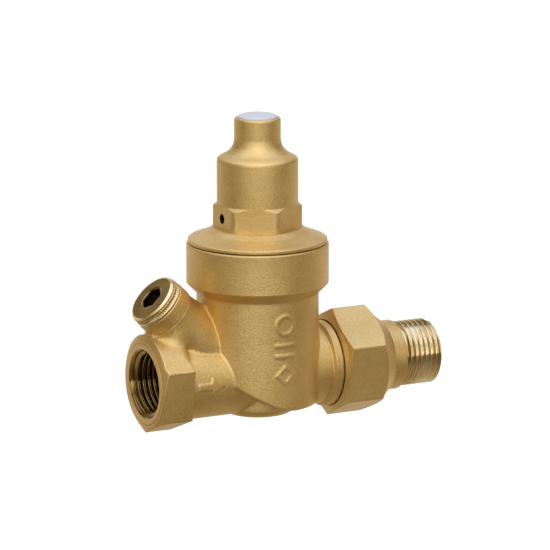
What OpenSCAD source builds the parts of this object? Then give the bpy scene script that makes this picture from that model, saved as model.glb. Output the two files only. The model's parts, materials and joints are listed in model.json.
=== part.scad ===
// Pressure reducing valve, 1/2 inch, with a female inlet and a male union outlet.
// Origin: centre of the inlet thread, where its wall begins behind the mouth chamfer.
// +X follows the flow to the outlet, +Z goes up the bonnet axis, +Y is the back.
// Internal heights are measured from the pipe axis.

/* [Pipe connections] */
// Distance from the inlet face to the bonnet axis
inlet_reach = 40; // [39:0.5:46]
// Distance from the bonnet axis to the end of the outlet thread
outlet_reach = 61.9; // [61:0.1:66]
// Major radius of the inlet thread
inlet_thread_r = 10.48; // [9.5:0.01:10.6]
// Major radius of the outlet thread
outlet_thread_r = 10.48; // [10:0.01:10.6]
// Depth of the inlet thread, mouth chamfer included
inlet_thread_depth = 15; // [12:0.5:16]
// Across flats of the inlet hexagon
inlet_hex_af = 28.7; // [28:0.1:28.9]
// Turn of the inlet hexagon about the pipe axis, degrees
inlet_hex_turn = 8; // [-10:1:10]
// Across flats of the union nut
nut_hex_af = 31.1; // [30.5:0.1:31.3]
// Turn of the union nut about the pipe axis, degrees
nut_turn = 5; // [-10:1:10]

/* [Body] */
// Radius of the inlet neck
neck_r = 12.7; // [12.5:0.1:13]
// Radius of the main cylinder under the ring
skirt_r = 19.35; // [19.2:0.05:19.8]
// Radius of the ring that clamps the diaphragm
ring_r = 22.5; // [22.2:0.05:23]
// Height of the ring's top
ring_top_z = 41.8; // [41.5:0.1:42]
// Radius of the gauge boss
boss_r = 8.65; // [8.2:0.05:9]
// Radius of the water passages
passage_r = 7.5; // [7:0.1:7.6]

/* [Bonnet] */
// Radius of the bonnet flange
flange_r = 22; // [21.6:0.1:22.2]
// Across flats of the bonnet hexagon
bonnet_hex_af = 25; // [24.6:0.1:25.6]
// Radius of the spring housing
housing_r = 12.8; // [12.6:0.1:13]
// Radius of the neck that takes the adjusting screw
bonnet_neck_r = 7.32; // [7.22:0.1:7.82]
// Height of the bonnet's top rim
bonnet_top_z = 81.6; // [81.2:0.1:83]

/* [Regulating unit] */
// Travel of the valve disc from open to closed
disc_travel = 2.5; // [1.5:0.1:2.8]
// Radius of the diaphragm
diaphragm_r = 18.6; // [18:0.1:18.8]
// Wire radius of the adjusting spring
wire_r = 1.25; // [0.9:0.05:1.4]
// Mean radius of the adjusting spring
coil_r = 8.2; // [7.6:0.1:8.4]
// Turns of the adjusting spring
coil_turns = 6; // [4:1:7]

/* [Hidden] */
$fn = 96;
fit_gap = 0.05;
mouth_depth = 0.6;
axis_x = inlet_reach - mouth_depth;
skirt_bottom_z = -9.7;
cone_bottom_z = 26;
ring_bottom_z = 29.05;
floor_z = 11.5;
seat_hole_r = 9.05;
seat_z = 3.5;
ledge_z = 33.9;
ring_bore_r = 19.1;
boss_tilt = 46;
boss_offset = 8.75;
boss_band_t = 31.5;
boss_face_t = 36.05;
plug_bore_r = 6.6;
plug_bore_depth = 11;
union_thread_r = 13.22;
union_bore_r = 13.3;
union_face_x = 32.4;
nut_left_x = 24.2;
nut_right_x = 43.6;
barrel_r = 11.2;
screw_bore_r = 5.45;
spring_bottom_z = 38.6;
spring_top_z = 63.6;
spring_ceiling_z = 67.6;
cap_seat_z = 79.8;
stem_r = 2;

// ---------- shared shapes ----------

module on_bonnet_axis() {
    translate([axis_x, 0, 0])
        children();
}

module along_x(x) {
    translate([x, 0, 0])
        rotate([0, 90, 0])
            children();
}

module along_boss(t) {
    translate([-boss_offset, 0, 0])
        rotate([0, -boss_tilt, 0])
            translate([0, 0, t])
                children();
}

module rod(r, z0, z1) {
    translate([0, 0, z0])
        cylinder(h = z1 - z0, r = r);
}

module taper(r0, r1, z0, z1) {
    translate([0, 0, z0])
        cylinder(h = z1 - z0, r1 = r0, r2 = r1);
}

module hex_rod(af, z0, z1) {
    translate([0, 0, z0])
        cylinder(h = z1 - z0, r = af / 2 / cos(30), $fn = 6);
}

module washer(outer_r, inner_r, z0, z1) {
    difference() {
        rod(outer_r, z0, z1);
        rod(inner_r, z0 - 1, z1 + 1);
    }
}

module o_ring(mean_r, cord_r, z) {
    translate([0, 0, z])
        rotate_extrude()
            translate([mean_r, 0])
                circle(r = cord_r, $fn = 32);
}

// Points of a rounded outer corner of radius r at (x, y), from the lower face to the side.
function lower_corner(x, y, r, steps) = [
    for (i = [0:steps]) [x - r + r * sin(90 * i / steps), y + r - r * cos(90 * i / steps)]
];

// ---------- body ----------

// Height of the skirt's lower edge: level on the outlet side, rising over the neck.
function skirt_edge_z(x) = skirt_bottom_z + 0.058 * pow(max(0, 5 - x), 1.68);

module skirt_side_profile() {
    far = skirt_r + 3;
    polygon(concat(
        [[far, skirt_bottom_z], [5, skirt_bottom_z]],
        [for (i = [1:8]) let (x = 5 - i * (far + 5) / 8) [x, skirt_edge_z(x)]],
        [[-far, cone_bottom_z], [far, cone_bottom_z]]
    ));
}

module skirt() {
    intersection() {
        rotate_extrude()
            polygon(concat(
                [[0, skirt_bottom_z]],
                lower_corner(skirt_r, skirt_bottom_z, 1, 3),
                [[skirt_r, cone_bottom_z], [0, cone_bottom_z]]
            ));
        translate([0, skirt_r + 2, 0])
            rotate([90, 0, 0])
                linear_extrude(height = 2 * skirt_r + 4)
                    skirt_side_profile();
    }
}

module ring() {
    rotate_extrude()
        polygon([
            [0, cone_bottom_z - 1], [skirt_r - 0.6, cone_bottom_z - 1], [skirt_r - 0.6, cone_bottom_z],
            [skirt_r, cone_bottom_z], [ring_r, ring_bottom_z], [ring_r, ring_top_z - 0.4],
            [ring_r - 0.4, ring_top_z], [0, ring_top_z]
        ]);
}

module lower_chamber() {
    rotate_extrude()
        polygon(concat(
            [[0, -13]],
            lower_corner(12, -13, 2.4, 3),
            [[12, 0], [0, 0]]
        ));
}

module inlet_hexagon() {
    intersection() {
        along_x(-inlet_reach)
            rotate([0, 0, inlet_hex_turn])
                hex_rod(inlet_hex_af, 0, 10.7);
        along_x(-inlet_reach)
            rotate_extrude()
                polygon([[0, 0], [13.7, 0], [16.8, 1.65], [16.8, 10.7], [0, 10.7]]);
    }
}

module gauge_boss() {
    along_boss(0) {
        rod(boss_r, 6, boss_band_t);
        rod(boss_r + 0.3, boss_band_t, boss_face_t);
    }
    // web that widens the boss towards the ring
    translate([5.5 * cos(boss_tilt), 0, 5.5 * sin(boss_tilt)])
        along_boss(0)
            taper(5.2, 3.1, 14, boss_band_t - 0.5);
    // fairing from the boss's band line down to the inlet hexagon's back plane
    rotate([90, 0, 0])
        linear_extrude(height = 2 * boss_r - 0.3, center = true)
            polygon([[-37.2, 9], [-37.2, 15.9], [-31.4, 21.9], [-29, 19.5], [-29, 9]]);
}

module outlet_stub() {
    along_x(0) {
        rod(12.6, 0, 20.8);
        taper(12.6, 13.7, 20.7, 21.5);
        rod(13.7, 21.45, nut_left_x - 0.4);
        rod(12.2, nut_left_x - 0.5, nut_left_x + 1.2);
        rod(union_thread_r, nut_left_x + 1.1, union_face_x);
    }
}

module foundry_marks() {
    // raised flow arrow on the neck
    translate([-22.6, 0, 0])
        rotate([90, 0, 0])
            linear_extrude(height = neck_r + 0.35)
                polygon([[-4.2, -1], [0.4, -1], [0.4, -2.6], [4.4, 0], [0.4, 2.6], [0.4, 1], [-4.2, 1]]);
    // raised plain figures on the skirt: a circle over two bars and a lozenge
    intersection() {
        rod(skirt_r + 0.25, -2, 24);
        union() {
            translate([0, 0, 18.6])
                rotate([90, 0, 0])
                    difference() {
                        cylinder(h = skirt_r + 1, r = 3.4);
                        translate([0, 0, -1])
                            cylinder(h = skirt_r + 3, r = 2.4);
                    }
            for (z = [8.2, 11.6])
                translate([-3.4, -skirt_r - 1, z])
                    cube([6.8, 4, 1]);
            translate([0, -skirt_r - 1, 2.6])
                rotate([0, 45, 0])
                    difference() {
                        translate([-2.4, 0, -2.4])
                            cube([4.8, 4, 4.8]);
                        translate([-1.5, -1, -1.5])
                            cube([3, 6, 3]);
                    }
        }
    }
}

module outlet_passage() {
    intersection() {
        translate([12.2, -6.6, -6.2])
            cube([4.6, 13.2, floor_z + 8]);
        rod(16.6, -7, floor_z + 3);
    }
    along_x(0)
        rod(passage_r + 0.5, 12.2, union_face_x + 1);
}

module body_cavity() {
    along_x(-inlet_reach) {
        taper(11.1, inlet_thread_r, -0.001, mouth_depth);
        rod(inlet_thread_r, mouth_depth - 0.001, inlet_thread_depth);
        rod(passage_r, inlet_thread_depth - 1, inlet_reach);
    }
    rod(9.5, -10.6, 4);
    rod(seat_hole_r, 3, floor_z + 1);
    rod(16, floor_z, ledge_z + 1);
    rod(ring_bore_r, ledge_z, ring_top_z + 1);
    along_boss(0)
        rod(plug_bore_r, boss_face_t - plug_bore_depth, boss_face_t + 1);
    translate([4.3 * cos(boss_tilt), 0, 4.3 * sin(boss_tilt)])
        along_boss(0)
            rod(1.2, 13, boss_face_t - plug_bore_depth + 1);
    outlet_passage();
}

module body() {
    color([0.75, 0.62, 0.39])
        on_bonnet_axis()
            difference() {
                union() {
                    skirt();
                    ring();
                    lower_chamber();
                    inlet_hexagon();
                    along_x(-inlet_reach)
                        rod(neck_r, 9, inlet_reach);
                    gauge_boss();
                    outlet_stub();
                    foundry_marks();
                }
                body_cavity();
            }
}

// ---------- seat and valve disc ----------

module seat_bush() {
    color([0.8, 0.69, 0.42])
        on_bonnet_axis()
            difference() {
                union() {
                    rod(9, seat_z + 0.6, floor_z + 0.1);
                    rod(7.2, seat_z, seat_z + 1);
                    rod(10.8, floor_z + fit_gap, floor_z + 2);
                    rod(3.2, 7, floor_z + 5);
                    for (a = [0:120:240])
                        rotate([0, 0, a])
                            translate([0, -0.8, 8])
                                cube([8, 1.6, 4.5]);
                }
                difference() {
                    rod(6.3, seat_z - 1, floor_z + 3);
                    rod(3.1, seat_z - 2, floor_z + 4);
                    for (a = [0:120:240])
                        rotate([0, 0, a])
                            translate([0, -0.8, 8])
                                cube([8, 1.6, 4.5]);
                }
                rod(3.3, seat_z - 1, 7);
                rod(stem_r + fit_gap, 6, floor_z + 6);
                washer(9.5, 7.1, 8.6, 10.5);
            }
}

module seat_bush_oring() {
    color([0.1, 0.1, 0.1])
        on_bonnet_axis()
            o_ring(8.05, 0.9, 9.55);
}

module stem() {
    color([0.72, 0.73, 0.75])
        on_bonnet_axis() {
            rod(stem_r, -8.2, 40.6);
            rod(2.9, 1.2, 2);
            rod(2.9, 31, 31.9);
        }
}

module disc_holder() {
    color([0.8, 0.69, 0.42])
        on_bonnet_axis()
            difference() {
                rod(7.8, -4, 0.2);
                rod(7.25, -1.9, 1);
                rod(stem_r + 0.03, -5, 1);
            }
}

module valve_disc() {
    color([0.1, 0.1, 0.1])
        on_bonnet_axis()
            washer(7.2, stem_r + 0.03, -1.85, seat_z - disc_travel);
}

module disc_nut() {
    color([0.72, 0.73, 0.75])
        on_bonnet_axis()
            difference() {
                hex_rod(7, -7.2, -4.05);
                rod(stem_r + 0.03, -8, -3);
            }
}

// ---------- diaphragm stack ----------

module lower_diaphragm_plate() {
    color([0.8, 0.69, 0.42])
        on_bonnet_axis()
            difference() {
                union() {
                    rod(12, 32.6, 33.85);
                    rod(5, 31.95, 32.7);
                }
                rod(stem_r + 0.03, 31, 35);
            }
}

module diaphragm() {
    color([0.12, 0.12, 0.12])
        on_bonnet_axis()
            washer(diaphragm_r, stem_r + 0.03, ledge_z, ledge_z + 1.6);
}

module upper_diaphragm_plate() {
    color([0.72, 0.73, 0.75])
        on_bonnet_axis()
            difference() {
                union() {
                    rod(12, 35.55, spring_bottom_z - 1.8);
                    rod(6.4, spring_bottom_z - 1.9, spring_bottom_z + 0.2);
                    washer(11.6, 10.1, spring_bottom_z - 1.9, spring_bottom_z);
                }
                rod(stem_r + 0.03, 35, 42);
                rod(4.4, spring_bottom_z - 1, 42);
            }
}

module stem_nut() {
    color([0.72, 0.73, 0.75])
        on_bonnet_axis()
            difference() {
                hex_rod(7, 37.65, 40.2);
                rod(stem_r + 0.03, 36, 42);
            }
}

module friction_ring() {
    color([0.9, 0.9, 0.88])
        on_bonnet_axis()
            washer(diaphragm_r, 16, 35.55, 36.5);
}

// ---------- spring and adjustment ----------

// Height of the wire's centre after t turns: a closed coil at each end, open coils between.
function coil_z(t) = let (
    wire = 2 * wire_r,
    low = spring_bottom_z - 1.7 + wire_r,
    high = spring_top_z - 0.1 - wire_r,
    pitch = (high - low - 2 * wire) / (coil_turns - 2)
)
    t < 1 ? low + wire * t
    : t < coil_turns - 1 ? low + wire + pitch * (t - 1)
    : high - wire * (coil_turns - t);

function coil_ring(t, sides) = [
    for (k = [0:sides - 1]) let (
        a = 360 * t,
        b = 360 * k / sides,
        r = coil_r + wire_r * cos(b)
    ) [r * cos(a), r * sin(a), coil_z(t) + wire_r * sin(b)]
];

module adjusting_spring() {
    sides = 8;
    steps_per_turn = 20;
    steps = steps_per_turn * coil_turns;
    points = [for (i = [0:steps]) each coil_ring(i / steps_per_turn, sides)];
    walls = [
        for (i = [0:steps - 1], k = [0:sides - 1]) let (
            a = i * sides + k,
            b = i * sides + (k + 1) % sides
        ) [a, a + sides, b + sides, b]
    ];
    first_end = [for (k = [0:sides - 1]) k];
    last_end = [for (k = [0:sides - 1]) steps * sides + sides - 1 - k];
    color([0.6, 0.61, 0.63])
        on_bonnet_axis()
            polyhedron(points = points, faces = concat([first_end], walls, [last_end]));
}

module spring_plate() {
    color([0.72, 0.73, 0.75])
        on_bonnet_axis()
            difference() {
                union() {
                    rod(9.8, spring_top_z, spring_top_z + 1.2);
                    rod(6.4, spring_top_z - 2, spring_top_z + 0.1);
                }
                taper(0.01, 1.6, spring_top_z - 0.6, spring_top_z + 1.3);
            }
}

module thrust_washer() {
    color([0.9, 0.9, 0.88])
        on_bonnet_axis()
            washer(5.2, 2, spring_top_z + 1.25, spring_top_z + 2);
}

module adjusting_screw() {
    color([0.8, 0.69, 0.42])
        on_bonnet_axis()
            difference() {
                union() {
                    rod(screw_bore_r - fit_gap, spring_top_z + 2.05, 77.4);
                    taper(screw_bore_r - fit_gap, 4.9, 77.4, 78);
                }
                hex_rod(5, 73.5, 79);
            }
}

// ---------- bonnet ----------

module bonnet_profile() {
    polygon([
        [0, 36.55], [19.05, 36.55], [19.05, ring_top_z + 0.1], [21.1, ring_top_z + 0.1],
        [21.1, ring_top_z + 0.4], [flange_r, ring_top_z + 0.4], [flange_r, 43],
        [flange_r - 0.4, 43.3], [18.9, 44.25], [16.5, 45.25], [15, 46.2], [14.6, 46.7], [0, 46.7]
    ]);
}

module housing_profile() {
    polygon([
        [0, 54.2], [housing_r, 54.2], [housing_r, 68.3], [housing_r - 0.1, 68.6],
        [housing_r - 0.5, 69.05], [housing_r - 1.4, 69.6], [housing_r - 2.4, 70.05],
        [housing_r - 3.2, 70.55], [bonnet_neck_r + 1.3, 71.5], [bonnet_neck_r + 0.6, 72.5],
        [bonnet_neck_r + 0.2, 73.6], [bonnet_neck_r, 75], [bonnet_neck_r, bonnet_top_z - 0.5],
        [bonnet_neck_r - 0.5, bonnet_top_z], [0, bonnet_top_z]
    ]);
}

module bonnet() {
    color([0.75, 0.62, 0.39])
        on_bonnet_axis()
            difference() {
                union() {
                    rotate_extrude()
                        bonnet_profile();
                    intersection() {
                        rotate([0, 0, 30])
                            hex_rod(bonnet_hex_af, 46, 54.4);
                        rotate_extrude()
                            polygon([[0, 45], [14.05, 45], [14.05, 53.5], [12.85, 54.4], [0, 54.4]]);
                    }
                    rotate_extrude()
                        housing_profile();
                }
                rod(14.6, 35, 43.6);
                taper(14.6, 10.3, 43.599, 46.2);
                rod(10.3, 46, spring_ceiling_z);
                rod(screw_bore_r, spring_ceiling_z - 1, cap_seat_z + 0.1);
                rod(6.25, cap_seat_z, bonnet_top_z + 1);
                rotate([0, -90, 0])
                    translate([50.2, 0, 9])
                        cylinder(h = 6, r = 1.6);
                washer(20, 17.6, 38.2, 39.8);
            }
}

module bonnet_oring() {
    color([0.1, 0.1, 0.1])
        on_bonnet_axis()
            o_ring(18.3, 0.65, 39);
}

module cap() {
    color([0.86, 0.89, 0.93])
        on_bonnet_axis()
            rotate_extrude()
                polygon([
                    [0, cap_seat_z + fit_gap], [6.2, cap_seat_z + fit_gap], [6.2, bonnet_top_z + 0.3],
                    [5.5, bonnet_top_z + 0.8], [3, bonnet_top_z + 1.05], [0, bonnet_top_z + 1.1]
                ]);
}

// ---------- gauge port ----------

module gauge_plug() {
    color([0.82, 0.7, 0.4])
        on_bonnet_axis()
            along_boss(boss_face_t)
                difference() {
                    union() {
                        rod(plug_bore_r - fit_gap, -9.6, -2.3);
                        rod(5.2, -2.4, 0.1);
                        rod(8.5, 0.05, 0.9);
                        rotate_extrude()
                            polygon([[0, 0.8], [8.85, 0.8], [8.85, 2.6], [8.3, 3.3], [7.9, 3.55], [0, 3.55]]);
                    }
                    hex_rod(7, -4, 4);
                    taper(3.4, 4.2, 3.1, 3.6);
                }
}

module gauge_plug_oring() {
    color([0.1, 0.1, 0.1])
        on_bonnet_axis()
            along_boss(boss_face_t)
                o_ring(5.9, 0.6, -1.2);
}

// ---------- outlet union ----------

module union_nut() {
    color([0.77, 0.64, 0.4])
        on_bonnet_axis()
            difference() {
                intersection() {
                    along_x(0)
                        rotate([0, 0, nut_turn])
                            hex_rod(nut_hex_af, nut_left_x, nut_right_x);
                    along_x(0)
                        rotate_extrude()
                            polygon([
                                [0, nut_left_x], [14.1, nut_left_x], [15.4, nut_left_x + 0.9],
                                [18, nut_left_x + 1.75], [18, nut_right_x - 6.1],
                                [15.4, nut_right_x - 4.2], [12.6, nut_right_x - 0.8],
                                [12.1, nut_right_x], [0, nut_right_x]
                            ]);
                }
                along_x(0) {
                    taper(13.97, union_bore_r, nut_left_x - 0.001, nut_left_x + 0.65);
                    rod(union_bore_r, nut_left_x + 0.6, union_face_x + 4.1);
                    rod(barrel_r + 0.25, union_face_x + 4, nut_right_x + 1);
                }
            }
}

module union_gasket() {
    color([0.15, 0.15, 0.16])
        on_bonnet_axis()
            along_x(0)
                washer(12.8, 8.2, union_face_x + fit_gap, union_face_x + 1.95);
}

module tailpiece() {
    thread_end_x = outlet_reach - 0.9;
    color([0.78, 0.65, 0.4])
        on_bonnet_axis()
            difference() {
                along_x(0) {
                    rod(13, union_face_x + 2, union_face_x + 4);
                    rod(barrel_r, union_face_x + 3.9, 48.2);
                    taper(barrel_r, 9.4, 48.2, 49);
                    rod(9.4, 48.9, 49.2);
                    taper(9.4, outlet_thread_r, 49.1, 49.6);
                    rod(outlet_thread_r, 49.6, thread_end_x);
                    taper(outlet_thread_r, 9.4, thread_end_x, outlet_reach);
                }
                along_x(0)
                    rod(passage_r, 20, outlet_reach + 1);
            }
}

// ---------- assembly ----------

body();
seat_bush();
seat_bush_oring();
stem();
disc_holder();
valve_disc();
disc_nut();
lower_diaphragm_plate();
diaphragm();
upper_diaphragm_plate();
stem_nut();
friction_ring();
adjusting_spring();
spring_plate();
thrust_washer();
adjusting_screw();
bonnet();
bonnet_oring();
cap();
gauge_plug();
gauge_plug_oring();
union_nut();
union_gasket();
tailpiece();
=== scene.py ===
"""Visual model of a 1/2 inch pressure reducing valve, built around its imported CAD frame."""

import json
import math

import bmesh
import bpy
import numpy as np
from mathutils import Matrix, Vector


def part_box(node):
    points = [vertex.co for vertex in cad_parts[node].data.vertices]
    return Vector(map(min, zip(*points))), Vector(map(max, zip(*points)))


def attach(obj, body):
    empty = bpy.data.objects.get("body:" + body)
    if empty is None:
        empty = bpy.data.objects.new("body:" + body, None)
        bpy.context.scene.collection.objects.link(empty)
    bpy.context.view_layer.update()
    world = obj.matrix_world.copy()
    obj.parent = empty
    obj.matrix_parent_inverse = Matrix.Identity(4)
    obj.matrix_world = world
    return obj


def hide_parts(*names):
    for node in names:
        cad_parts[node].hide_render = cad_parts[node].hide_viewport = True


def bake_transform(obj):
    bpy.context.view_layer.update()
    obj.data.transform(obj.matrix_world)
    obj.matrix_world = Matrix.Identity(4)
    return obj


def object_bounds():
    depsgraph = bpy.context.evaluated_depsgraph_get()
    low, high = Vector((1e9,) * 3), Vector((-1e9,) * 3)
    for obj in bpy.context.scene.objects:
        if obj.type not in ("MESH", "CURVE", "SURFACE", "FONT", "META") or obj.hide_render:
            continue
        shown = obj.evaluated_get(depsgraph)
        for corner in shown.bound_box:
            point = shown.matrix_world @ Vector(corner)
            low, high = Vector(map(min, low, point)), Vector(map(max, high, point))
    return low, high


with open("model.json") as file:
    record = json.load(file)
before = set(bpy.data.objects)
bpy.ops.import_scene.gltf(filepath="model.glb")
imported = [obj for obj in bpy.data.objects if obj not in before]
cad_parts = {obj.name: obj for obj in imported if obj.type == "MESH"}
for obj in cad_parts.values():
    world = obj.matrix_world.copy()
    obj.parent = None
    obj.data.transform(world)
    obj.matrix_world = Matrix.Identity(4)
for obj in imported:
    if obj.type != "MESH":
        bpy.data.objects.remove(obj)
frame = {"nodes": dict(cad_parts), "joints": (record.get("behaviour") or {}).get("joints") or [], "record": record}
cad_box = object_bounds()

MM = 0.001
TURN = 2 * math.pi

# ---------- places, all from the frame ----------

BONNET_LOW, BONNET_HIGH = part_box("bonnet")
AXIS_X = (BONNET_LOW.x + BONNET_HIGH.x) / 2
PLUG_JOINT = next(j for j in frame["joints"] if j["name"] == "gauge_plug_turn")
PLUG_SEAT = Vector(PLUG_JOINT["pos_m"])
PLUG_AXIS = Vector(PLUG_JOINT["axis"]).normalized()

# The turned pieces' own axes: the height of a profile runs along each one's z.
TO_PIPE = Matrix.Translation((AXIS_X, 0, 0)) @ Matrix.Rotation(math.pi / 2, 4, "Y")
TO_BONNET = Matrix.Translation((AXIS_X, 0, 0))
TO_PLUG = Matrix.Translation(PLUG_SEAT) @ Matrix.Rotation(math.atan2(PLUG_AXIS.x, PLUG_AXIS.z), 4, "Y")


# ---------- mesh tools; profiles are lists of (height, radius) in mm along an axis ----------


def mesh_object(name, verts, faces):
    mesh = bpy.data.meshes.new(name)
    mesh.from_pydata([tuple(v) for v in verts], [], [tuple(f) for f in faces])
    mesh.validate()
    bm = bmesh.new()
    bm.from_mesh(mesh)
    bmesh.ops.remove_doubles(bm, verts=bm.verts, dist=1e-7)
    bmesh.ops.recalc_face_normals(bm, faces=bm.faces)
    bm.to_mesh(mesh)
    bm.free()
    mesh.shade_smooth()
    obj = bpy.data.objects.new(name, mesh)
    bpy.context.scene.collection.objects.link(obj)
    return obj


def tube_faces(steps, sides):
    """Faces between the rings of points of an open tube."""
    faces = []
    for j in range(steps):
        low, high = j * sides, (j + 1) * sides
        for i in range(sides):
            after = (i + 1) % sides
            faces.append((low + i, low + after, high + after, high + i))
    return faces


def turned(name, stations, place, angles=192):
    """A closed turned piece.

    A station's radius may be a function of the angle, as on a hexagon or a thread.
    """
    if isinstance(angles, int):
        angles = np.arange(angles) * TURN / angles
    sides = len(angles)
    rings = []
    for z, r in stations:
        radii = r(angles) if callable(r) else np.full(sides, float(r))
        ring = np.stack([radii * np.cos(angles), radii * np.sin(angles), np.full(sides, z)], 1)
        rings.append(ring * MM)
    verts = np.concatenate(rings) @ np.array(place.to_3x3()).T + np.array(place.translation)
    grid = np.arange(len(verts)).reshape(len(rings), sides)
    across, along = np.roll(grid, -1, 1), np.roll(grid, -1, 0)
    both = np.roll(across, -1, 0)
    faces = np.stack([grid, across, both, along], -1).reshape(-1, 4)
    return mesh_object(name, verts, faces)


# the longest step in mm between two stations of a rounded profile
LONGEST_STATION = 1.0


def rounded(points, radius=0.12, cuts=3):
    """An open profile whose inner corners are rounded, with a guard point on each side of a corner."""
    straight, shortest, parts, guard = math.radians(4), 1e-6, 3.4, 1.5
    points = [Vector(p) for p in points]
    out = [points[0]]
    for before, corner, after in zip(points, points[1:], points[2:]):
        back, ahead = before - corner, after - corner
        if min(back.length, ahead.length) < shortest or back.angle(-ahead) < straight:
            out.append(corner)
            continue
        to_start = back.normalized() * min(radius, back.length / parts)
        to_end = ahead.normalized() * min(radius, ahead.length / parts)
        start, end = corner + to_start, corner + to_end
        out.append(corner + to_start * guard)
        for k in range(cuts + 1):
            t = k / cuts
            out.append(start * (1 - t) ** 2 + corner * 2 * t * (1 - t) + end * t * t)
        out.append(corner + to_end * guard)
    out.append(points[-1])
    return refined([tuple(p) for p in out], LONGEST_STATION)


def refined(points, step):
    """The same profile with no gap between stations above step."""
    out = [points[0]]
    for a, b in zip(points, points[1:]):
        count = max(1, math.ceil((Vector(b) - Vector(a)).length / step))
        out += [tuple(Vector(a).lerp(Vector(b), k / count)) for k in range(1, count + 1)]
    return out


def thread_stations(z0, z1, crest, root, pitch, lead=0.6, per_turn=22):
    """Stations of a cut thread from z0 to z1, in either direction.

    The teeth fade to the root over lead at each end.
    """
    steep, sunk, curved = 1.25, 0.125, 0.35
    rows = max(2, int(abs(z1 - z0) / pitch * per_turn))
    stations = []
    for z in np.linspace(z0, z1, rows + 1):
        full = max(0.0, min(1.0, abs(z - z0) / lead, abs(z1 - z) / lead))

        def radius(angles, z=z, full=full):
            phase = (z / pitch + angles / TURN) % 1.0
            tooth = np.clip(steep * (1 - np.abs(2 * phase - 1)) - sunk, 0, 1)
            tooth = tooth * tooth * (3 - 2 * tooth) * curved + tooth * (1 - curved)
            return root + (crest - root) * tooth * full

        stations.append((float(z), radius))
    return stations


def soft_min(values, width):
    """Smooth minimum of several arrays, rounded over about width."""
    stack = np.stack(np.broadcast_arrays(*values))
    low = stack.min(0)
    return low - width * np.log(np.exp(-(stack - low) / width).sum(0))


def hexagon(flats, turn, rounding=0.1):
    """Radius of a hexagon with slightly rounded corners; its first corner is at the angle turn."""
    facing, far = 0.3, 1e3

    def radius(angles):
        sides = []
        for k in range(6):
            c = np.cos(angles - turn - TURN / 12 - k * TURN / 6)
            sides.append(np.where(c > facing, flats / 2 / np.maximum(c, facing), far))
        return soft_min(sides, rounding)

    return radius


def hex_angles(turn, count=300):
    """Even angles, closer together around the six corners of a hexagon."""
    near = np.radians([-2.6, -2.0, -1.4, -0.9, -0.5, -0.2, 0.0, 0.2, 0.5, 0.9, 1.4, 2.0, 2.6])
    corners = (turn + np.arange(6)[:, None] * TURN / 6 + near).ravel() % TURN
    angles = np.sort(np.concatenate([np.arange(count) * TURN / count, corners]))
    return angles[np.concatenate([[True], np.diff(angles) > 1e-3])]


def hex_stations(points, shape, rounding=0.1):
    """Stations of a hexagon held inside a turned profile."""

    def station(z, limit):
        return z, lambda angles: soft_min([shape(angles), np.full_like(angles, limit)], rounding)

    return [station(z, limit) for z, limit in points]


def fade(value, start, end):
    """0 up to start, 1 from end on and straight between them; end may be below start."""
    return np.clip((value - start) / (end - start), 0, 1)


def copy_of(node, name):
    obj = bpy.data.objects.new(name, frame["nodes"][node].data.copy())
    bpy.context.scene.collection.objects.link(obj)
    return obj


def apply_modifier(obj, kind, **settings):
    mod = obj.modifiers.new(kind, kind)
    for key, value in settings.items():
        setattr(mod, key, value)
    depsgraph = bpy.context.evaluated_depsgraph_get()
    done = bpy.data.meshes.new_from_object(obj.evaluated_get(depsgraph))
    obj.modifiers.clear()
    old = obj.data
    obj.data = done
    bpy.data.meshes.remove(old)


def points_of(mesh):
    co = np.zeros(len(mesh.vertices) * 3)
    mesh.vertices.foreach_get("co", co)
    return co.reshape(-1, 3)


def relax(mesh, weight, rounds, factor=0.5):
    """Laplacian smoothing of a dense mesh. weight gives each point's share from its place in mm."""
    co = points_of(mesh)
    share = weight(co / MM) * factor
    edges = np.zeros(len(mesh.edges) * 2, np.int64)
    mesh.edges.foreach_get("vertices", edges)
    a, b = edges.reshape(-1, 2).T
    near = (share[a] > 0) | (share[b] > 0)
    used, ends = np.unique(np.concatenate([a[near], b[near]]), return_inverse=True)
    a, b = ends.reshape(2, -1)
    part, share = co[used], share[used, None]
    degree = (np.bincount(a, minlength=len(part)) + np.bincount(b, minlength=len(part)))[:, None]
    for _ in range(rounds):
        total = np.stack([
            np.bincount(a, part[b, k], len(part)) + np.bincount(b, part[a, k], len(part)) for k in range(3)
        ], 1)
        part += share * (total / degree - part)
    co[used] = part
    mesh.vertices.foreach_set("co", co.ravel())


# ---------- materials ----------


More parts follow.
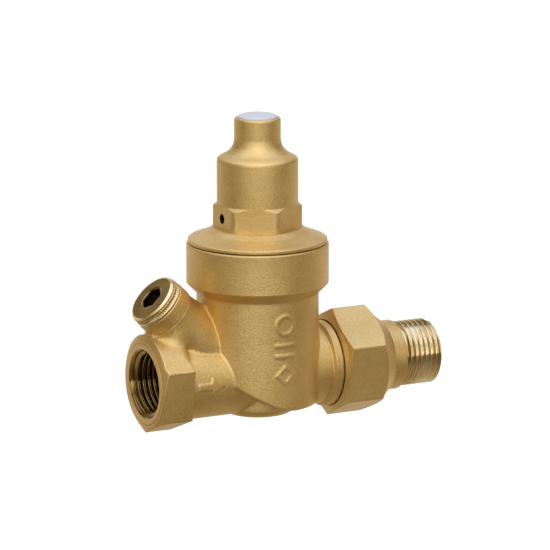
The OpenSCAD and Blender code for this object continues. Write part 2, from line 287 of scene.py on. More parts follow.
class Nodes:
    """Small helper around a material's node tree."""

    def __init__(self, name):
        self.material = bpy.data.materials.new(name)
        self.material.use_nodes = True
        self.tree = self.material.node_tree
        self.shader = self.tree.nodes["Principled BSDF"]
        self.coords = self.tree.nodes.new("ShaderNodeTexCoord").outputs["Object"]

    def add(self, kind, **values):
        node = self.tree.nodes.new(kind)
        for key, value in values.items():
            setattr(node, key, value)
        return node

    def link(self, out, into):
        self.tree.links.new(out, into)

    def lathe_coords(self, place):
        """Coordinates that only change with the radius and the height about a turned piece's axis."""
        inverse = place.inverted()
        mapping = self.add("ShaderNodeMapping")
        mapping.inputs["Location"].default_value = inverse.translation
        mapping.inputs["Rotation"].default_value = inverse.to_euler()
        self.link(self.coords, mapping.inputs["Vector"])
        apart = self.add("ShaderNodeSeparateXYZ")
        self.link(mapping.outputs["Vector"], apart.inputs["Vector"])
        flat, joined = self.add("ShaderNodeCombineXYZ"), self.add("ShaderNodeCombineXYZ")
        self.link(apart.outputs["X"], flat.inputs["X"])
        self.link(apart.outputs["Y"], flat.inputs["Y"])
        radius = self.add("ShaderNodeVectorMath", operation="LENGTH")
        self.link(flat.outputs["Vector"], radius.inputs[0])
        self.link(radius.outputs["Value"], joined.inputs["X"])
        self.link(apart.outputs["Z"], joined.inputs["Z"])
        return joined.outputs["Vector"]

    def noise(self, scale, detail=4.0, rough=0.5, coords=None):
        node = self.add("ShaderNodeTexNoise")
        node.inputs["Scale"].default_value = scale
        node.inputs["Detail"].default_value = detail
        node.inputs["Roughness"].default_value = rough
        self.link(coords or self.coords, node.inputs["Vector"])
        return node.outputs["Fac"]

    def ramp(self, fac, stops):
        node = self.add("ShaderNodeValToRGB")
        while len(node.color_ramp.elements) < len(stops):
            node.color_ramp.elements.new(0.5)
        for element, (place, colour) in zip(node.color_ramp.elements, stops):
            element.position = place
            element.color = (*colour, 1.0)
        self.link(fac, node.inputs["Fac"])
        return node.outputs["Color"]

    def span(self, fac, low, high, from_low=0.3, from_high=0.7):
        node = self.add("ShaderNodeMapRange")
        node.inputs["From Min"].default_value = from_low
        node.inputs["From Max"].default_value = from_high
        node.inputs["To Min"].default_value = low
        node.inputs["To Max"].default_value = high
        self.link(fac, node.inputs["Value"])
        return node.outputs["Result"]

    def mix(self, fac, a, b, blend="MIX"):
        node = self.add("ShaderNodeMix", data_type="RGBA", blend_type=blend)
        factor, first, second = node.inputs[0], node.inputs[6], node.inputs[7]
        for socket, value in ((factor, fac), (first, a), (second, b)):
            if isinstance(value, bpy.types.NodeSocket):
                self.link(value, socket)
            elif isinstance(value, (int, float)):
                socket.default_value = value
            else:
                socket.default_value = (*value, 1.0)
        return node.outputs[2]

    def bump(self, height, strength, distance, below=None):
        node = self.add("ShaderNodeBump")
        node.inputs["Strength"].default_value = strength
        node.inputs["Distance"].default_value = distance
        self.link(height, node.inputs["Height"])
        if below is not None:
            self.link(below, node.inputs["Normal"])
        return node.outputs["Normal"]

    def finish(self, colour=None, rough=None, normal=None, **fixed):
        for key, value in fixed.items():
            self.shader.inputs[key.replace("_", " ")].default_value = value
        for socket, value in (("Base Color", colour), ("Roughness", rough), ("Normal", normal)):
            if value is not None:
                self.link(value, self.shader.inputs[socket])
        return self.material


def blasted_brass(name, tones, rough=(0.48, 0.60), grain=1.0):
    """Matte brass with the fine pits of shot blasting and a slow change of tone."""
    light, mid, dark = tones
    n = Nodes(name)
    cloud = n.noise(60.0, 3.0)
    speck = n.noise(2300.0, 2.0, 0.6)
    pits = n.noise(1700.0, 3.0, 0.6)
    tone = n.ramp(cloud, [(0.3, dark), (0.5, mid), (0.72, light)])
    fleck = n.ramp(speck, [(0.34, (0.82, 0.79, 0.70)), (0.6, (1.0, 1.0, 1.0))])
    colour = n.mix(1.0, tone, fleck, "MULTIPLY")
    roughness = n.span(speck, rough[0], rough[1])
    low = n.bump(n.noise(420.0, 2.0), 0.3 * grain, 0.00022)
    normal = n.bump(pits, 0.6 * grain, 0.00018, low)
    coat = {"Coat_Weight": 0.5, "Coat_Roughness": 0.4, "Coat_IOR": 1.6}
    return n.finish(colour, roughness, normal, Metallic=1.0, **coat)


def turned_brass(name, tones, place, rough=(0.16, 0.3), marks=0.5):
    """Machined brass with tool marks that run around the axis of the place."""
    light, mid, dark = tones
    n = Nodes(name)
    lathe = n.noise(5200.0, 3.0, 0.6, n.lathe_coords(place))
    stain = n.noise(260.0, 3.0)
    tone = n.ramp(n.noise(90.0, 3.0), [(0.3, dark), (0.5, mid), (0.7, light)])
    tone = n.mix(n.span(stain, 0.0, 0.25, 0.55, 0.8), tone, dark)
    normal = n.bump(lathe, marks, 0.00006)
    return n.finish(tone, n.span(stain, rough[0], rough[1]), normal, Metallic=1.0)


def plain_metal(name, light, dark, rough=(0.25, 0.4)):
    n = Nodes(name)
    marks = n.noise(3000.0, 2.0)
    tone = n.ramp(n.noise(120.0, 4.0), [(0.3, dark), (0.7, light)])
    normal = n.bump(marks, 0.15, 0.00004)
    return n.finish(tone, n.span(marks, rough[0], rough[1]), normal, Metallic=1.0)


def moulded(name, light, dark, rough=(0.45, 0.6), grain=0.15):
    """Rubber or plastic with a fine moulded grain."""
    n = Nodes(name)
    fine = n.noise(2000.0, 3.0)
    tone = n.ramp(n.noise(90.0, 3.0), [(0.3, dark), (0.7, light)])
    normal = n.bump(fine, grain, 0.00005)
    return n.finish(tone, n.span(fine, rough[0], rough[1]), normal, Metallic=0.0)


BLASTED = (0.86, 0.61, 0.235), (0.80, 0.55, 0.19), (0.72, 0.48, 0.15)
CUT = (0.93, 0.77, 0.46), (0.85, 0.66, 0.34), (0.72, 0.52, 0.23)
POLISHED = (0.94, 0.83, 0.60), (0.78, 0.63, 0.37), (0.50, 0.36, 0.15)
# These darker brass tones are painted shade: the thread inside the inlet's mouth and the gauge plug's face.
PAINTED_SHADE_BRASS = (0.52, 0.36, 0.13), (0.36, 0.23, 0.07), (0.20, 0.12, 0.04)
# These near-black tones are painted shade for the insides of bores and sockets.
HOLLOW_SHADE = (0.12, 0.075, 0.025), (0.08, 0.05, 0.017), (0.05, 0.03, 0.01)
MATERIALS = {
    "cast_brass": blasted_brass("blasted_casting", BLASTED),
    "forged_brass": blasted_brass("blasted_forging", BLASTED, (0.46, 0.56), 0.8),
    "turned_brass": blasted_brass("satin_turning", BLASTED, (0.42, 0.54), 0.6),
    "bright_brass": turned_brass("bright_turning", CUT, TO_BONNET),
    "steel": plain_metal("turned_steel", (0.62, 0.62, 0.63), (0.48, 0.48, 0.49)),
    "spring_steel": plain_metal("spring_wire", (0.40, 0.41, 0.43), (0.28, 0.29, 0.31), (0.2, 0.34)),
    "rubber": moulded("black_rubber", (0.035, 0.035, 0.035), (0.02, 0.02, 0.02)),
    "diaphragm_rubber": moulded(
        "diaphragm_sheet", (0.06, 0.06, 0.06), (0.035, 0.035, 0.035), (0.5, 0.7), 0.3
    ),
    "gasket": moulded("gasket_fibre", (0.07, 0.07, 0.075), (0.04, 0.04, 0.045), (0.6, 0.8), 0.3),
    "white_plastic": moulded("white_plastic", (0.82, 0.82, 0.79), (0.76, 0.76, 0.73), (0.35, 0.5), 0.1),
    "cap_plastic": moulded("cap_plastic", (0.63, 0.60, 0.54), (0.58, 0.56, 0.51), (0.35, 0.48), 0.1),
}
PIPE_THREAD = turned_brass("pipe_thread", POLISHED, TO_PIPE, (0.1, 0.16), 0.3)
# painted shade on the thread inside the inlet's mouth
INLET_THREAD_SHADE = turned_brass("inlet_thread", PAINTED_SHADE_BRASS, TO_PIPE, (0.08, 0.15), 0.3)
# painted shade on the gauge plug's face, darker than the same brass on its rim
PLUG_FACE_SHADE = turned_brass("plug_face_painted_shade", PAINTED_SHADE_BRASS, TO_PLUG, (0.18, 0.28), 0.9)
PLUG_RIM = turned_brass("plug_rim", CUT, TO_PLUG, (0.18, 0.28), 0.6)
# painted shade for the insides of bores and sockets
PAINTED_SHADE_BORE = turned_brass("painted_shade_bore", HOLLOW_SHADE, TO_PIPE, (0.3, 0.45), 0.5)


def paint(obj, material):
    obj.data.materials.clear()
    obj.data.materials.append(material)
    return obj


def add_piece(obj, body, slot, material=None, replaces=()):
    """Finish a new piece: its material, by default the slot's, its body, and hiding the CAD nodes it stands for.
    """
    paint(obj, material or MATERIALS[slot])
    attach(obj, body)
    if replaces:
        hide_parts(*replaces)
    return obj


def paint_where(obj, material, place, heights, radii):
    """Give the faces between two heights and two radii about an axis another material."""
    obj.data.materials.append(material)
    index = len(obj.data.materials) - 1
    inverse = place.inverted()
    for face in obj.data.polygons:
        at = inverse @ face.center / MM
        if heights[0] < at.z < heights[1] and radii[0] < math.hypot(at.x, at.y) < radii[1]:
            face.material_index = index


# ---------- dimensions in mm along each axis; they repeat the CAD's ----------

PITCH, PORT_PITCH, UNION_PITCH, SCREW_PITCH = 1.814, 1.337, 1.5, 1.25
INLET_FACE, INLET_BACK = -40.0, -29.3
UNION_FACE, STUB_R, PASSAGE_R = 32.4, 12.6, 7.5
NUT_LEFT, NUT_RIGHT, NUT_FLATS, NUT_TURN, NUT_SEAT = 24.2, 43.6, 31.1, math.radians(5), 36.5
OUTLET_END = (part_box("tailpiece")[1].x - AXIS_X) / MM
RING_LOW, RING_UNDER, RING_TOP, SKIRT_R, RING_R, RING_BORE = 26.0, 29.05, 41.8, 19.35, 22.5, 19.1
HOUSING_R, NECK_R, BONNET_FLATS, BONNET_TOP = 12.8, 7.32, 25.0, BONNET_HIGH.z / MM
SPRING_BORE, SPRING_ROOF, SPRING_TOP, SPRING_LOW = 10.3, 67.6, 63.6, 36.9
BOSS_R, BOSS_BAND, PORT_R = 8.65, -4.55, 6.6
# from the pipe's axis to just below the tips of the inlet hexagon's corners
INLET_TOP = 16.3
DIAPHRAGM_Z, DIAPHRAGM_R = (33.9, 35.5), 18.6
# further than any point of the valve
FAR = 99

# ---------- body: a cast skin with its machined faces as turned pieces ----------


def casting():
    """The body's skin, remeshed and smoothed so that its corners get fillets.

    Where a turned piece covers the skin, it is drawn in under that piece.
    """
    obj = copy_of("body", "casting")
    voxel = 0.22
    apply_modifier(obj, "REMESH", mode="VOXEL", voxel_size=voxel * MM, use_smooth_shade=True)
    mesh = obj.data
    relax(mesh, fillet_share, rounds=9)
    p = points_of(mesh) / MM
    round_over(p)
    narrow_fairing(p)
    mesh.vertices.foreach_set("co", (p * MM).ravel())
    relax(mesh, junction_share, rounds=150)
    p = points_of(mesh) / MM
    draw_in(p, TO_PIPE, (INLET_FACE - 1, INLET_BACK + 2), (0.1, 12.6), (11.4, FAR), (INLET_FACE, FAR))
    draw_in(p, TO_PIPE, (20.5, FAR), (0.1, 24), (8.3, 12.1), (-FAR, UNION_FACE - 0.4))
    draw_in(p, TO_PLUG, (BOSS_BAND - 0.15, 9), (0.1, 11), (6.9, 8.1), (-FAR, -0.3), INLET_TOP)
    ring = SKIRT_R - 0.9, RING_R + 0.6
    draw_in(p, TO_BONNET, (RING_LOW + 0.4, FAR), ring, (0, 20.6), (-FAR, RING_TOP - 0.3))
    mesh.vertices.foreach_set("co", (p * MM).ravel())
    mesh.shade_smooth()
    return add_piece(obj, "housing", "cast_brass", replaces=["body"])


def fillet_share(p):
    """Full smoothing for the cast corners, little for the hexagon, the outlet stub and the inside."""
    x, y, z = p[:, 0] - AXIS_X / MM, p[:, 1], p[:, 2]
    share = np.ones(len(p))
    share[(x < INLET_BACK + 1.5) & (z < 9)] = 0.22
    share[x < INLET_FACE + 0.8] = 0.05
    share[x > 20] = 0.2
    share[(np.hypot(x, y) < SKIRT_R - 0.45) & (z > 12)] = 0.1
    return share


def junction_share(p):
    """Only the metal between the gauge boss and the inlet hexagon, fading out towards the front flat."""
    x, y, z = p[:, 0] - AXIS_X / MM, p[:, 1], p[:, 2]
    along = fade(x, INLET_FACE + 1.4, INLET_FACE + 3.4) * fade(x, -23.5, -27.0)
    above = fade(z, 7.4, 9.9) * fade(z, 24.0, 22.0)
    outside = fade(np.hypot(y, z), 11.6, 12.4)
    return along * above * outside


def round_over(points):
    """Above its front flat the inlet's hexagon swells to a round casting under the gauge boss."""
    swell, face_r, rim_r, chamfer, flat_r, upper_corner, margin = 15.6, 13.7, 16.8, 1.65, 14.0, 6.4, 0.3
    x, y, z = points[:, 0] - AXIS_X / MM, points[:, 1], points[:, 2]
    radius = np.hypot(y, z)
    cone = face_r + (x - INLET_FACE) * (rim_r - face_r) / chamfer
    picked = (radius > flat_r) & (z > upper_corner)
    picked &= (x > INLET_FACE + margin) & (x < INLET_BACK + margin)
    wanted = np.maximum(radius, np.minimum(swell, cone))
    scale = np.where(picked, wanted / np.maximum(radius, 1.0), 1.0)
    points[:, 1] *= scale
    points[:, 2] *= scale


def narrow_fairing(points):
    """Towards the inlet's mouth the metal under the gauge boss narrows to stay behind the collar."""
    widest, starts, slope, narrowest, lowest = 8.5, -33.0, 1.1, 3.0, 11.0
    local = (points - np.array(TO_PLUG.translation) / MM) @ np.array(TO_PLUG.to_3x3())
    x, y, z = points[:, 0] - AXIS_X / MM, points[:, 1], points[:, 2]
    boss = np.sqrt(np.maximum(BOSS_R ** 2 - local[:, 0] ** 2, 0))
    width = np.maximum(np.clip(widest + (x - starts) * slope, narrowest, widest), boss)
    picked = (np.hypot(y, z) > INLET_TOP) & (z > lowest) & (x < starts)
    picked &= local[:, 2] < BOSS_BAND
    points[picked, 1] = np.clip(y[picked], -width[picked], width[picked])


def draw_in(points, place, heights, band, radii, limits, beyond=0.0):
    """Hold the points between two heights and two radii (band) about an axis inside new limits.

    Only points beyond a distance from the pipe's axis are moved.
    """
    rotation, centre = np.array(place.to_3x3()), np.array(place.translation) / MM
    local = (points - centre) @ rotation
    radius = np.hypot(local[:, 0], local[:, 1])
    picked = (local[:, 2] > heights[0]) & (local[:, 2] < heights[1])
    picked &= (radius > band[0]) & (radius < band[1])
    picked &= np.hypot(points[:, 1], points[:, 2]) >= beyond
    scale = np.clip(radius[picked], *radii) / radius[picked]
    local[picked, 0] *= scale
    local[picked, 1] *= scale
    local[picked, 2] = np.clip(local[picked, 2], *limits)
    points[picked] = local[picked] @ rotation.T + centre


def clamp_ring():
    """The ring around the diaphragm: a wall of 2 mm over the casting's skin."""
    under = RING_R - 2.0
    profile = [
        (RING_LOW + 0.4, SKIRT_R - 0.6), (RING_LOW, SKIRT_R - 0.4), (RING_LOW, SKIRT_R + 0.05),
        (RING_UNDER, RING_R), (RING_TOP - 0.35, RING_R), (RING_TOP, RING_R - 0.35),
        (RING_TOP, RING_BORE), (RING_TOP - 4, RING_BORE - 0.05), (RING_TOP - 4.2, RING_BORE + 0.6),
        (RING_TOP - 3, under), (RING_UNDER + 1, under),
    ]
    obj = turned("clamp_ring", rounded(profile, 0.16), TO_BONNET, 256)
    return add_piece(obj, "housing", "cast_brass")


def boss_collar():
    """The gauge boss's raised collar, with the cut thread of its port."""
    band_r, root = BOSS_R + 0.3, PORT_R - 0.03
    profile = [
        (BOSS_BAND + 0.5, 7.2), (BOSS_BAND, 7.6), (BOSS_BAND, BOSS_R), (BOSS_BAND + 0.12, band_r),
        (-0.25, band_r), (0, BOSS_R + 0.05), (0, PORT_R + 0.5), (-0.6, root),
    ]
    inside = thread_stations(-1.2, BOSS_BAND + 0.4, PORT_R - 0.55, root, PORT_PITCH)
    obj = turned("gauge_boss_collar", rounded(profile) + inside, TO_PLUG)
    return add_piece(obj, "housing", "cast_brass")


def inlet_end():
    """Turned face, mouth and cut thread of the inlet."""
    deep, face = INLET_FACE + 14.9, INLET_FACE - 0.01
    crest, root = 9.32, 10.44
    inner = rounded([
        (face, 13.2), (INLET_FACE + 0.6, 13.0), (INLET_FACE + 1.6, 11.8), (deep, 11.2),
        (deep, root + 0.02), (deep - 0.3, root),
    ])
    thread = thread_stations(deep - 0.3, INLET_FACE + 0.75, crest, root, PITCH, 0.5, 26)
    mouth = rounded([(INLET_FACE + 0.7, root), (INLET_FACE + 0.6, root + 0.04), (face, 11.1), (face, 13.2)])
    obj = turned("inlet_thread", inner + thread + mouth[:-1], TO_PIPE, 240)
    add_piece(obj, "housing", "cast_brass")
    # painted shade on the thread inside the inlet's mouth
    paint_where(obj, INLET_THREAD_SHADE, TO_PIPE, (INLET_FACE + 0.1, deep), (0, 11.05))
    return obj


def union_stub():
    """Outlet end of the body: collar, relief and the union thread under the nut."""
    flange, relief = NUT_LEFT - 0.4, NUT_LEFT + 1.2
    outer = rounded([
        (20.3, 12.0), (20.4, STUB_R), (20.8, STUB_R), (21.5, 13.7), (flange, 13.7), (flange, 12.2),
        (relief, 12.2),
    ])
    thread = thread_stations(relief + 0.05, UNION_FACE - 0.3, 13.22, 12.25, UNION_PITCH)
    end = rounded([
        (UNION_FACE - 0.2, 12.2), (UNION_FACE, 12.0), (UNION_FACE, 7.97), (20.4, 7.97), (20.3, 12.0),
    ])
    obj = turned("union_stub", outer + thread + end[:-1], TO_PIPE)
    return add_piece(obj, "housing", "cast_brass")


# ---------- bonnet and adjustment ----------


def bonnet():
    hex_low, hex_top, corner = 46.7, 54.4, 14.05
    flange = refined(rounded([
        (36.75, 14.6), (36.55, 14.8), (36.55, 18.9), (36.7, 19.05), (38.2, 19.05), (38.2, 17.6), (39.8, 17.6),
        (39.8, 19.05), (41.9, 19.05), (41.9, 21.1), (42.2, 21.1), (42.2, 22.0), (43.0, 22.0), (43.3, 21.6),
        (44.25, 18.9), (45.25, 16.5), (46.2, 15.0), (hex_low - 0.1, 14.4),
    ], 0.1), 1.0)
    foot = [(hex_low - 0.05, 14.3), (hex_low, 14.2)]
    sides = refined(rounded([
        (hex_low + 0.02, corner), (hex_top - 0.9, corner), (hex_top, HOUSING_R + 0.05),
    ]), 0.12)
    top = rounded([
        (hex_top + 0.02, HOUSING_R + 0.02), (hex_top + 0.2, HOUSING_R), (68.0, HOUSING_R), (68.6, 12.7),
        (69.05, 12.3), (69.6, 11.4), (70.05, 10.4), (70.55, 9.6), (71.5, 8.62), (72.5, 7.92), (73.6, 7.52),
        (75.0, NECK_R), (BONNET_TOP - 0.45, NECK_R), (BONNET_TOP, NECK_R - 0.35), (BONNET_TOP, 6.45),
        (BONNET_TOP - 0.2, 6.25), (79.8, 6.25), (79.8, 5.5), (79.3, 5.45),
    ], 0.3)
    screw = thread_stations(79.2, SPRING_ROOF + 0.5, 4.75, 5.45, SCREW_PITCH, 0.4, 14)
    inside = rounded([
        (SPRING_ROOF + 0.4, 5.45), (SPRING_ROOF, 5.6), (SPRING_ROOF, SPRING_BORE), (46.2, SPRING_BORE),
        (43.6, 14.6), (36.8, 14.6),
    ], 0.3)
    first_corner = TURN / 12
    hexagonal = hex_stations(sides, hexagon(BONNET_FLATS, first_corner), 0.07)
    stations = flange + foot + hexagonal + top + screw + inside
    obj = turned("bonnet_body", stations, TO_BONNET, hex_angles(first_corner))
    drill = turned("vent_drill", [(9.0, 0.01), (9.0, 1.6), (16.0, 1.6), (16.0, 0.01)], vent_place(), 48)
    cut(obj, drill)
    add_piece(obj, "housing", "cast_brass", replaces=["bonnet"])
    # painted shade inside the vent hole
    paint_where(obj, PAINTED_SHADE_BORE, vent_place(), (9.5, 12.4), (0, 1.65))


def vent_place():
    """The vent hole's axis runs from the bonnet's axis straight towards the inlet."""
    height = 50.2
    return Matrix.Translation((AXIS_X, 0, height * MM)) @ Matrix.Rotation(-math.pi / 2, 4, "Y")


def cut(obj, cutter):
    apply_modifier(obj, "BOOLEAN", operation="DIFFERENCE", object=cutter, solver="EXACT")
    bpy.data.objects.remove(cutter)
    obj.data.shade_smooth()
    obj.data.set_sharp_from_angle(angle=math.radians(50))


def cap():
    seat, rim = 79.85, BONNET_TOP
    profile = [
        (seat, 0.02), (seat, 6.0), (seat + 0.2, 6.2), (rim + 0.3, 6.2), (rim + 0.62, 6.0), (rim + 0.85, 5.4),
        (rim + 1.0, 4.0), (rim + 1.08, 2.0), (rim + 1.1, 0.02),
    ]
    obj = turned("neck_cap", rounded(profile, 0.2), TO_BONNET, 128)
    return add_piece(obj, "cap_unit", "cap_plastic", replaces=["cap"])


def adjusting_screw():
    low, high, key, wall = SPRING_TOP + 2.05, 78.0, 5, 2.9
    outer = [(low, 0.02), (low, 4.2), (low + 0.5, 4.7)]
    outer += thread_stations(low + 0.5, high - 0.5, 5.4, 4.72, SCREW_PITCH, 0.5, 14)
    outer += [(high - 0.3, 4.7), (high, 4.4), (high, 3.2)]
    well = [(high - 0.02, 3.15), (high - 0.3, wall), (high - 0.6, wall), (73.6, wall)]
    well = hex_stations(well, hexagon(key, 0, 0.05), 0.05)
    obj = turned("adjusting_screw_thread", outer + well + [(73.5, 0.02)], TO_BONNET, 144)
    return add_piece(obj, "adjusting_screw_unit", "bright_brass", replaces=["adjusting_screw"])


def spring():
    """The coil in two stretches, its foot and its head."""
    wire, coil, turns, sides, per_turn = 1.25, 8.2, 6, 16, 48
    low, high, split = SPRING_LOW + wire, SPRING_TOP - 0.1 - wire, 2
    pitch = (high - low - 4 * wire) / (turns - 2)

    def height(t):
        if t < 1:
            return low + 2 * wire * t
        if t < turns - 1:
            return low + 2 * wire + pitch * (t - 1)
        return high - 2 * wire * (turns - t)

    def stretch(name, first, last):
        around = np.arange(sides) * TURN / sides
        verts = []
        for t in np.linspace(first, last, int((last - first) * per_turn) + 1):
            r, z = coil + wire * np.cos(around), height(t) + wire * np.sin(around)
            a = TURN * t
            z = np.clip(z, SPRING_LOW + 0.15, SPRING_TOP - 0.15)
            verts += [(AXIS_X / MM + ri * math.cos(a), ri * math.sin(a), zi) for ri, zi in zip(r, z)]
        rows = len(verts) // sides
        faces = tube_faces(rows - 1, sides)
        faces += [tuple(range(sides)), tuple(range((rows - 1) * sides, rows * sides))]
        return paint(mesh_object(name, np.array(verts) * MM, faces), MATERIALS["spring_steel"])

    foot, head = stretch("spring_foot", 0, split), stretch("spring_head", split, turns)
    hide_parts("adjusting_spring")
    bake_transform(foot)
    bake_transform(head)


def diaphragm():
    """Twelve sectors of one flat sheet, with close rings between the plates and the clamped rim."""
    count, arcs, rim, plate, hole = 12, 6, 15.4, 12.0, 2.05
    radii = np.concatenate([[hole, 6.0, 9.0], np.linspace(plate, rim, 14), [17.0, DIAPHRAGM_R]])
    outline = [(r, DIAPHRAGM_Z[1]) for r in radii] + [(r, DIAPHRAGM_Z[0]) for r in radii[::-1]]
    for k in range(count):
        angles = (k + np.linspace(0, 1, arcs + 1)) * TURN / count
        verts = [
            (AXIS_X + r * MM * math.cos(a), r * MM * math.sin(a), z * MM) for a in angles for r, z in outline
        ]
        faces = tube_faces(arcs, len(outline))
        obj = paint(mesh_object(f"diaphragm_sector_{k:02d}", verts, faces), MATERIALS["diaphragm_rubber"])
        obj.data.set_sharp_from_angle(angle=math.radians(40))
        if k == 0:
            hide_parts("diaphragm")
        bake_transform(obj)


# ---------- gauge port ----------


def gauge_plug():
    """Plug with a knurled band under a turned head and a hexagon socket."""
    teeth, knurl_r, knurl_low, knurl_high, head_r, face = 64, 8.7, 0.95, 2.25, 8.45, 3.55
    depth, run_out, twist, sharpness = 0.34, 0.2, 1.2, 0.7
    key, wall = 7, 4.2

    def knurl(z):
        full = depth * min(1.0, (z - knurl_low) / run_out, (knurl_high - z) / run_out)
        return lambda angles: knurl_r - full * (0.5 + 0.5 * np.cos(teeth * angles + twist * z)) ** sharpness

    shank = [(-9.6, 0.02), (-9.6, 5.4), (-9.2, 5.75)]
    shank += thread_stations(-9.2, -2.4, PORT_R - 0.05, PORT_R - 0.8, PORT_PITCH, 0.6)
    rim = rounded([
        (-2.3, 5.3), (-2.2, 5.2), (0.05, 5.2), (0.05, 8.5), (0.25, 8.85), (0.75, 8.85), (0.9, 8.6),
    ], 0.1)
    band = [(z, knurl(z)) for z in np.linspace(knurl_low, knurl_high, 16)]
    head = rounded([
        (2.3, 8.6), (2.38, 8.1), (2.5, 8.1), (2.52, head_r), (2.95, head_r), (face - 0.1, 7.95), (face, 7.6),
        (face, 4.3), (face - 0.05, 4.2),
    ], 0.12)
    well = [(face - 0.1, 4.15), (3.1, 3.6), (2.9, wall), (2.0, wall), (-3.9, wall)]
    well = hex_stations(well, hexagon(key, 0, 0.06), 0.06)
    stations = shank + rim + band + head + well + [(-4.0, 0.02)]
    obj = turned("gauge_plug_head", stations, TO_PLUG, teeth * 9)
    add_piece(obj, "gauge_plug_unit", "bright_brass", PLUG_RIM, replaces=["gauge_plug"])
    # painted shade on the plug's face, darker than the same brass on its rim
    paint_where(obj, PLUG_FACE_SHADE, TO_PLUG, (face - 0.2, face + 0.1), (0, 7.6))
    # painted shade inside the plug's hexagon socket
    paint_where(obj, PAINTED_SHADE_BORE, TO_PLUG, (-4.1, face - 0.2), (0, 4.6))


# ---------- outlet union ----------


def union_nut():
    crest, root = 12.45, 13.3
    limit = refined(rounded([
        (NUT_LEFT, 14.0), (NUT_LEFT, 14.1), (NUT_LEFT + 0.9, 15.4), (NUT_LEFT + 1.75, 18.0),
        (NUT_RIGHT - 6.1, 18.0), (NUT_RIGHT - 4.2, 15.4), (NUT_RIGHT - 0.8, 12.6), (NUT_RIGHT, 12.1),
        (NUT_RIGHT, 11.8),
    ], 0.1), 0.14)
    inside = rounded([
        (NUT_RIGHT, 11.8), (NUT_RIGHT - 0.1, 11.45), (NUT_SEAT, 11.45), (NUT_SEAT, root),
        (NUT_SEAT - 0.4, root),
    ], 0.1)
    thread = thread_stations(NUT_SEAT - 0.5, NUT_LEFT + 1.6, crest, root, UNION_PITCH, 0.5)
    mouth = rounded([
        (NUT_LEFT + 1.4, root), (NUT_LEFT + 0.65, root), (NUT_LEFT, 13.97), (NUT_LEFT, 14.0),
    ], 0.08)
    stations = hex_stations(limit, hexagon(NUT_FLATS, NUT_TURN)) + inside + thread + mouth[:-1]
    obj = turned("union_nut_hexagon", stations, TO_PIPE, hex_angles(NUT_TURN))
    return add_piece(obj, "union_nut_unit", "forged_brass", replaces=["union_nut"])


def tailpiece():
    barrel, root, crest, bore = 11.2, 9.3, 10.48, PASSAGE_R
    thread_low = 49.2
    flange = rounded([
        (34.7, bore), (34.4, bore + 0.3), (34.4, 13.0), (36.4, 13.0), (36.4, barrel), (48.3, barrel),
        (48.9, 10.2), (49.1, root + 0.05),
    ], 0.14)
    thread = thread_stations(thread_low, OUTLET_END - 0.15, crest, root, PITCH, 0.7, 28)
    end = rounded([
        (OUTLET_END - 0.12, root), (OUTLET_END, root - 0.15), (OUTLET_END, bore + 0.4),
        (OUTLET_END - 0.4, bore), (34.75, bore),
    ], 0.1)
    obj = turned("union_tailpiece", flange + thread + end, TO_PIPE, 240)
    add_piece(obj, "tailpiece_unit", "turned_brass", replaces=["tailpiece"])
    paint_where(obj, PIPE_THREAD, TO_PIPE, (48.85, OUTLET_END + 1), (PASSAGE_R + 0.1, 12.0))
    # painted shade inside the tailpiece's bore
    paint_where(obj, PAINTED_SHADE_BORE, TO_PIPE, (34, OUTLET_END - 0.2), (0, PASSAGE_R + 0.1))
    return obj


# ---------- the whole object ----------

for node_row in frame["record"]["subparts"]:
    paint(frame["nodes"][node_row["node"]], MATERIALS[node_row["material_slot"]])

casting()
clamp_ring()
boss_collar()
inlet_end()
union_stub()
bonnet()
cap()
adjusting_screw()
spring()
diaphragm()
gauge_plug()
union_nut()
tailpiece()


# ---------- camera, light and floor ----------

AZIMUTH, ELEVATION = math.radians(-27.32), math.radians(12.42)
DISTANCE = 1.333
SENSOR, FOCAL = 36.0, 274.909
AIM_RIGHT, AIM_UP = 5.51 * MM, 30.25 * MM
VIEW_WAY = Vector((math.sin(AZIMUTH), -math.cos(AZIMUTH), 0.0))
# the floor lies well below, so that no contact shadow is seen; its thrown light changes over the span
FLOOR_DROP, FLOOR_SPAN = 0.10, (-0.27, 0.10)
ROOM_TURN = math.radians(2)
PALE = (1.0, 1.0, 1.0)


def add_camera():
    back = VIEW_WAY * math.cos(ELEVATION) + Vector((0, 0, math.sin(ELEVATION)))
    right = Vector((math.cos(AZIMUTH), math.sin(AZIMUTH), 0.0))
    up = back.cross(right)
    place = Vector((AXIS_X, 0, 0)) + back * DISTANCE + right * AIM_RIGHT + up * AIM_UP
    data = bpy.data.cameras.new("camera")
    data.sensor_width = SENSOR
    data.lens = FOCAL
    data.clip_start, data.clip_end = 0.05, 20.0
    cam = bpy.data.objects.new("camera", data)
    bpy.context.scene.collection.objects.link(cam)
    cam.matrix_world = Matrix.Translation(place) @ Matrix((right, up, back)).transposed().to_4x4()
    bpy.context.scene.camera = cam


def add_area(name, side, height, distance, size, power, colour=(1, 1, 1)):
    """A soft box at an angle to the side of the view and a height angle, both in degrees."""
    centre = Vector((AXIS_X, 0, 0.03))
    around = AZIMUTH + math.radians(side)
    lift = math.radians(height)
    level = Vector((math.sin(around), -math.cos(around), 0))
    way = level * math.cos(lift) + Vector((0, 0, math.sin(lift)))
    data = bpy.data.lights.new(name, "AREA")
    data.shape = "RECTANGLE"
    data.size, data.size_y = size
    data.energy = power
    data.color = colour
    obj = bpy.data.objects.new(name, data)
    bpy.context.scene.collection.objects.link(obj)
    turn = way.to_track_quat("Z", "Y").to_matrix().to_4x4()
    obj.matrix_world = Matrix.Translation(centre + way * distance) @ turn


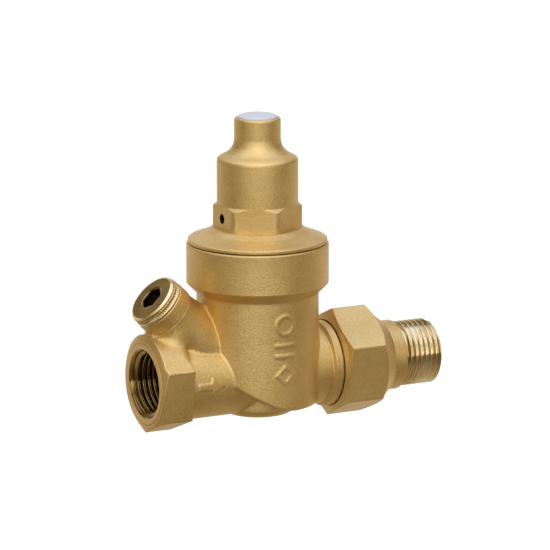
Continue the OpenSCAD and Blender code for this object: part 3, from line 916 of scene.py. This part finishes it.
def add_floor():
    """A plain white floor. What it throws up on the object goes from pale behind to dark in front."""
    mesh = bpy.data.meshes.new("floor")
    bm = bmesh.new()
    bmesh.ops.create_grid(bm, x_segments=2, y_segments=2, size=4.0)
    bm.to_mesh(mesh)
    bm.free()
    floor = bpy.data.objects.new("floor", mesh)
    floor.location = (0, 0, cad_box[0][2] - FLOOR_DROP)
    bpy.context.scene.collection.objects.link(floor)
    n = Nodes("floor")
    ahead = n.add("ShaderNodeVectorMath", operation="DOT_PRODUCT")
    ahead.inputs[1].default_value = VIEW_WAY
    n.link(n.coords, ahead.inputs[0])
    depth = n.span(ahead.outputs["Value"], 0.0, 1.0, *FLOOR_SPAN)
    stops = [(0.0, (0.74, 0.69, 0.58)), (0.45, (0.50, 0.43, 0.30)), (1.0, (0.11, 0.075, 0.03))]
    thrown = n.ramp(depth, stops)
    seen = n.add("ShaderNodeLightPath").outputs["Is Camera Ray"]
    n.link(n.mix(seen, thrown, PALE), n.shader.inputs["Emission Color"])
    paint(floor, n.finish(None, Base_Color=(0.05, 0.05, 0.05, 1.0), Roughness=0.9, Emission_Strength=1.0))


def add_world():
    """A plain white room. What it throws on the object is brightest from the front, dark from the sides
    and pale from behind.
    """
    world = bpy.data.worlds.new("studio")
    world.use_nodes = True
    tree = world.node_tree
    coords = tree.nodes.new("ShaderNodeTexCoord").outputs["Generated"]
    facing = tree.nodes.new("ShaderNodeVectorMath")
    facing.operation = "DOT_PRODUCT"
    facing.inputs[1].default_value = Matrix.Rotation(ROOM_TURN, 3, "Z") @ VIEW_WAY
    tree.links.new(coords, facing.inputs[0])
    ramp = tree.nodes.new("ShaderNodeValToRGB")
    spread = tree.nodes.new("ShaderNodeMapRange")
    spread.inputs["From Min"].default_value = -1.0
    tree.links.new(facing.outputs["Value"], spread.inputs["Value"])
    tree.links.new(spread.outputs["Result"], ramp.inputs["Fac"])
    stops = [
        (0.0, (0.86, 0.86, 0.86)), (0.08, (0.68, 0.65, 0.57)), (0.20, (0.29, 0.23, 0.13)),
        (0.32, (0.09, 0.06, 0.02)), (0.5, (0.28, 0.21, 0.10)), (0.72, (0.48, 0.42, 0.33)),
        (0.86, (0.80, 0.78, 0.72)), (0.95, (1.75, 1.82, 1.98)), (1.0, (2.35, 2.5, 2.75)),
    ]
    while len(ramp.color_ramp.elements) < len(stops):
        ramp.color_ramp.elements.new(0.5)
    for element, (place, colour) in zip(ramp.color_ramp.elements, stops):
        element.position = place
        element.color = (*colour, 1.0)
    seen = tree.nodes.new("ShaderNodeMix")
    seen.data_type = "RGBA"
    tree.links.new(tree.nodes.new("ShaderNodeLightPath").outputs["Is Camera Ray"], seen.inputs[0])
    tree.links.new(ramp.outputs["Color"], seen.inputs[6])
    seen.inputs[7].default_value = (*PALE, 1.0)
    tree.links.new(seen.outputs[2], tree.nodes["Background"].inputs["Color"])
    tree.nodes["Background"].inputs["Strength"].default_value = 1.0
    bpy.context.scene.world = world
    bpy.context.scene.view_settings.view_transform = "Standard"


add_camera()
add_floor()
add_world()
add_area("overhead", 0, 82, 0.55, (1.1, 1.0), 3.9, (0.84, 1.04, 1.6))
